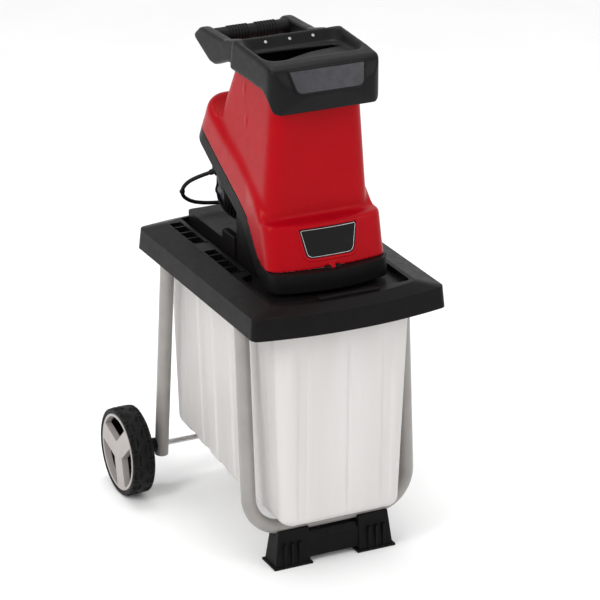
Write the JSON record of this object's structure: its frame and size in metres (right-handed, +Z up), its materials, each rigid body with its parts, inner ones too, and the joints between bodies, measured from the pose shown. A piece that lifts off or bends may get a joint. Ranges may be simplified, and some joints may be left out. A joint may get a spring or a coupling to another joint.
{
  "type": "garden wood chipper",
  "caption": "Electric garden chipper: tilted knife-disc cutter with feed hopper on a wheeled tube frame over a pull-out collection box.",
  "frame": {"origin": "middle of the object's footprint box, on the floor", "axes": "+Z up, -Y towards the front with the badge and the box's pulling side, +X to the right seen from the front"},
  "size_m": [0.474, 0.555, 0.887],
  "materials": {
    "red_plastic": "moulded gloss",
    "black_plastic": "fine moulded texture",
    "hopper_plastic": "satin moulded texture",
    "motor_plastic": "satin moulded",
    "panel_plastic": "gloss",
    "grip_rubber": "ribbed",
    "painted_tube": "satin powder coat",
    "box_plastic": "frosted translucent",
    "wheel_grey": "moulded",
    "tyre_rubber": "matte rubber",
    "steel": "machined",
    "core_steel": "laminated",
    "copper": "machined",
    "knob_plastic": "moulded",
    "green_plastic": "moulded",
    "red_button_plastic": "moulded",
    "cord_jacket": "rubber jacket"
  },
  "bodies": {
    "base": {"tray": "black_plastic", "left_box_rail": "black_plastic", "right_box_rail": "black_plastic", "left_rear_leg": "painted_tube", "right_rear_leg": "painted_tube", "front_leg_frame": "painted_tube", "front_foot": "black_plastic", "foot_screws": "steel", "axle": "steel", "axle_clips": "steel", "axle_spacers": "black_plastic", "base_housing": "black_plastic", "lock_nut": "steel", "hinge_pin": "steel", "motor_cover": "motor_plastic", "motor_side_panel": "panel_plastic", "cord_gland": "grip_rubber", "gearbox_plate": "motor_plastic", "spindle_bearings": "steel", "motor_bearings": "steel", "motor_stator": "core_steel", "motor_brushes": "steel", "bell_screws": "steel", "switch_box": "motor_plastic", "rear_deck": "black_plastic", "power_cord": "cord_jacket", "cord_tie": "cord_jacket", "plug_body": "cord_jacket", "plug_pins": "steel"},
    "left_wheel": {"left_wheel_tyre": "tyre_rubber", "left_wheel_core": "black_plastic", "left_wheel_cover": "wheel_grey"},
    "right_wheel": {"right_wheel_tyre": "tyre_rubber", "right_wheel_core": "black_plastic", "right_wheel_cover": "wheel_grey"},
    "box": {"collection_box": "box_plastic"},
    "cover": {"cover_housing": "red_plastic", "badge_plate": "panel_plastic", "hopper": "hopper_plastic", "handle_grip": "grip_rubber", "hopper_panel": "panel_plastic", "hopper_screws": "steel", "feed_chute": "black_plastic"},
    "lock_knob": {"lock_knob": "knob_plastic"},
    "cutter": {"spindle": "steel", "gear_wheel": "steel", "cutting_disc": "steel", "blades": "steel", "blade_screws": "steel", "disc_nut": "steel"},
    "motor": {"motor_shaft": "steel", "motor_rotor": "core_steel", "commutator": "copper", "cooling_fan": "knob_plastic", "pinion": "steel"},
    "box_latch": {"box_latch": "black_plastic"},
    "start_button": {"start_button": "green_plastic"},
    "stop_button": {"stop_button": "red_button_plastic"},
    "overload_button": {"overload_button": "knob_plastic"}
  },
  "joints": [
    {"name": "left_wheel_spin", "type": "hinge", "parent": "base", "child": "left_wheel", "pos_m": [-0.216, 0.1975, 0.08], "axis": [1, 0, 0], "continuous": true},
    {"name": "right_wheel_spin", "type": "hinge", "parent": "base", "child": "right_wheel", "pos_m": [0.216, 0.1975, 0.08], "axis": [1, 0, 0], "continuous": true},
    {"name": "box_slide", "type": "slide", "parent": "base", "child": "box", "axis": [0, -1, 0], "range_m": [0, 0.44]},
    {"name": "cover_hinge", "type": "hinge", "parent": "base", "child": "cover", "pos_m": [0, -0.188, 0.5313], "axis": [1, 0, 0], "range_deg": [0, 60]},
    {"name": "lock_knob_turn", "type": "hinge", "parent": "cover", "child": "lock_knob", "pos_m": [0, 0.16926, 0.71863], "axis": [0, -0.4802, 0.8771], "continuous": true},
    {"name": "cutter_spin", "type": "hinge", "parent": "base", "child": "cutter", "pos_m": [0, 0.064, 0.661], "axis": [0, -0.4802, 0.8771], "continuous": true},
    {"name": "motor_spin", "type": "hinge", "parent": "base", "child": "motor", "pos_m": [0, 0.04207, 0.64899], "axis": [0, -0.4802, 0.8771], "continuous": true},
    {"name": "latch_slide", "type": "slide", "parent": "base", "child": "box_latch", "axis": [1, 0, 0], "range_m": [-0.004, 0.004]},
    {"name": "start_press", "type": "slide", "parent": "base", "child": "start_button", "axis": [-1, 0, 0], "range_m": [0, 0.003], "stiffness_N_per_m": 500},
    {"name": "stop_press", "type": "slide", "parent": "base", "child": "stop_button", "axis": [-1, 0, 0], "range_m": [0, 0.003], "stiffness_N_per_m": 500},
    {"name": "overload_press", "type": "slide", "parent": "base", "child": "overload_button", "axis": [-1, 0, 0], "range_m": [0, 0.003], "stiffness_N_per_m": 500}
  ],
  "couplings": [
    {"joint": "motor_spin", "follows": "cutter_spin", "ratio": -3.1667}
  ]
}
